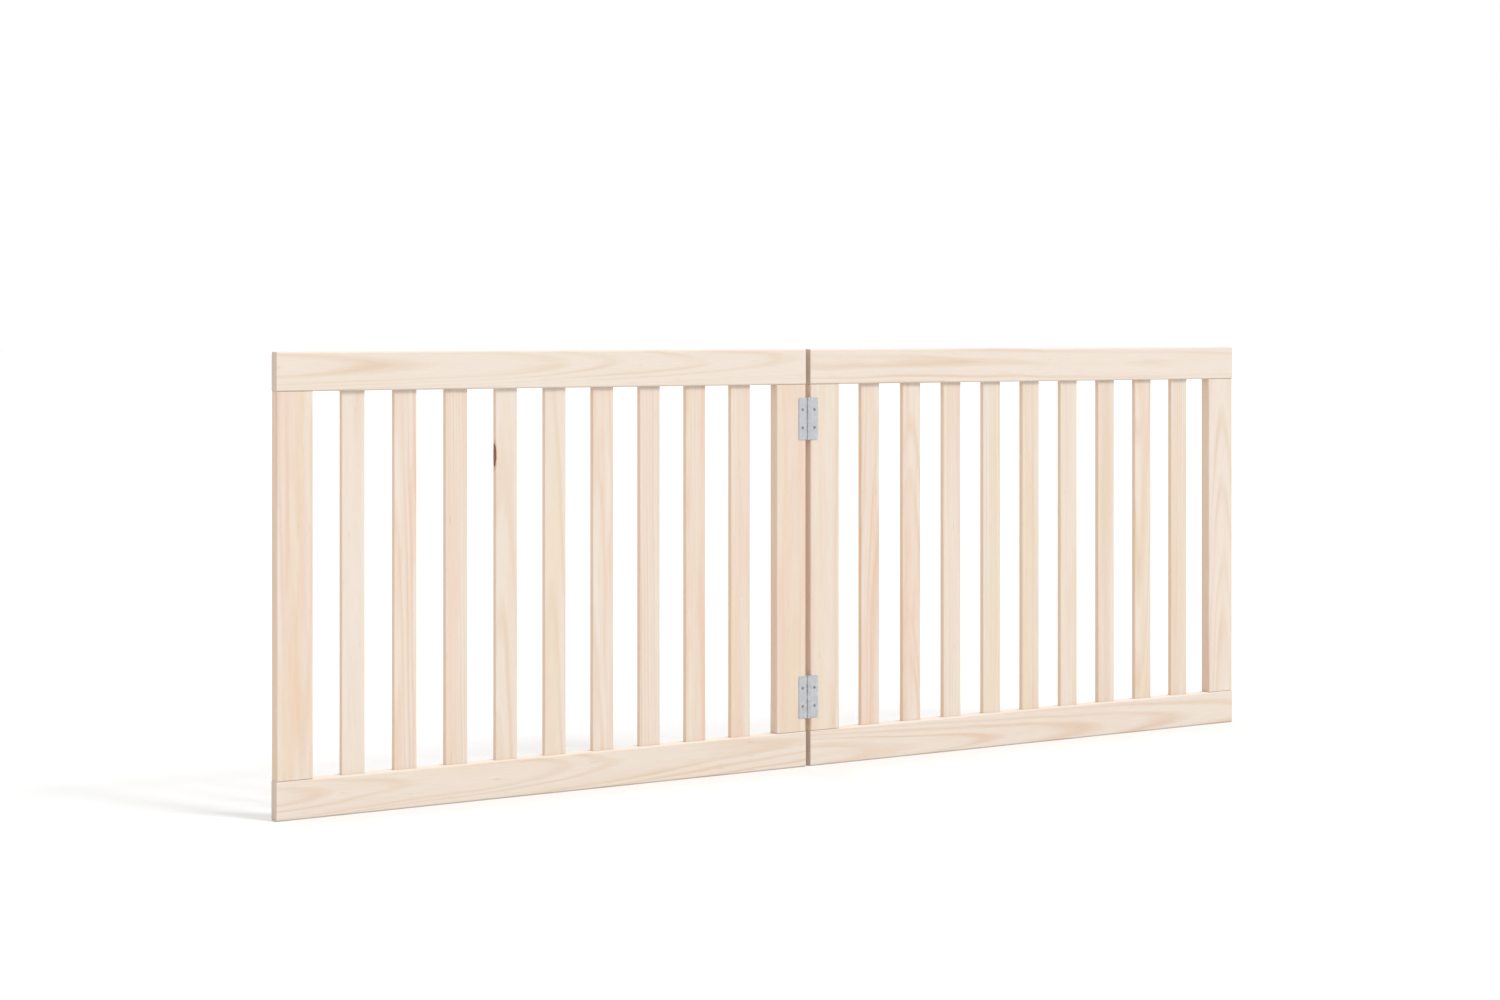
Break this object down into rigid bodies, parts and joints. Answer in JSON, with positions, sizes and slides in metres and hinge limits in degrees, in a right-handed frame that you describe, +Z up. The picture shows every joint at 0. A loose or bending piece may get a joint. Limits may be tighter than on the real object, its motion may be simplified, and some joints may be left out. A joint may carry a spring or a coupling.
{
  "type": "pet gate",
  "caption": "Free-standing folding pet gate: two slatted pine panels joined by butt hinges, opening flat or folding face to face.",
  "frame": {"origin": "on the floor, midway along the open gate and midway through its depth, hinge barrels included", "axes": "+X runs along the open gate from the fixed panel to the swinging one, -Y is the front, where the hinge barrels are, and +Z is up"},
  "size_m": [1.6074, 0.0216, 0.6],
  "materials": {
    "pine": "planed and sanded, unfinished",
    "dowel_beech": "turned, hidden in the joints",
    "zinc_plated_steel": "bright zinc plated, satin",
    "screw_steel": "bright zinc plated, satin"
  },
  "bodies": {
    "fixed_panel": {"left_top_rail": "pine", "left_bottom_rail": "pine", "left_outer_post": "pine", "left_hinge_post": "pine", "left_slat_1": "pine", "left_slat_2": "pine", "left_slat_3": "pine", "left_slat_4": "pine", "left_slat_5": "pine", "left_slat_6": "pine", "left_slat_7": "pine", "left_slat_8": "pine", "left_slat_9": "pine", "left_dowels": "dowel_beech", "upper_hinge_fixed_leaf": "zinc_plated_steel", "upper_hinge_pin": "zinc_plated_steel", "upper_fixed_leaf_screws": "screw_steel", "lower_hinge_fixed_leaf": "zinc_plated_steel", "lower_hinge_pin": "zinc_plated_steel", "lower_fixed_leaf_screws": "screw_steel"},
    "swing_panel": {"right_top_rail": "pine", "right_bottom_rail": "pine", "right_outer_post": "pine", "right_hinge_post": "pine", "right_slat_1": "pine", "right_slat_2": "pine", "right_slat_3": "pine", "right_slat_4": "pine", "right_slat_5": "pine", "right_slat_6": "pine", "right_slat_7": "pine", "right_slat_8": "pine", "right_slat_9": "pine", "right_dowels": "dowel_beech", "upper_hinge_moving_leaf": "zinc_plated_steel", "upper_moving_leaf_screws": "screw_steel", "lower_hinge_moving_leaf": "zinc_plated_steel", "lower_moving_leaf_screws": "screw_steel"}
  },
  "joints": [
    {"name": "panel_hinge", "type": "hinge", "parent": "fixed_panel", "child": "swing_panel", "pos_m": [0, -0.00833, 0.3], "axis": [0, 0, -1], "range_deg": [-20, 180]}
  ]
}
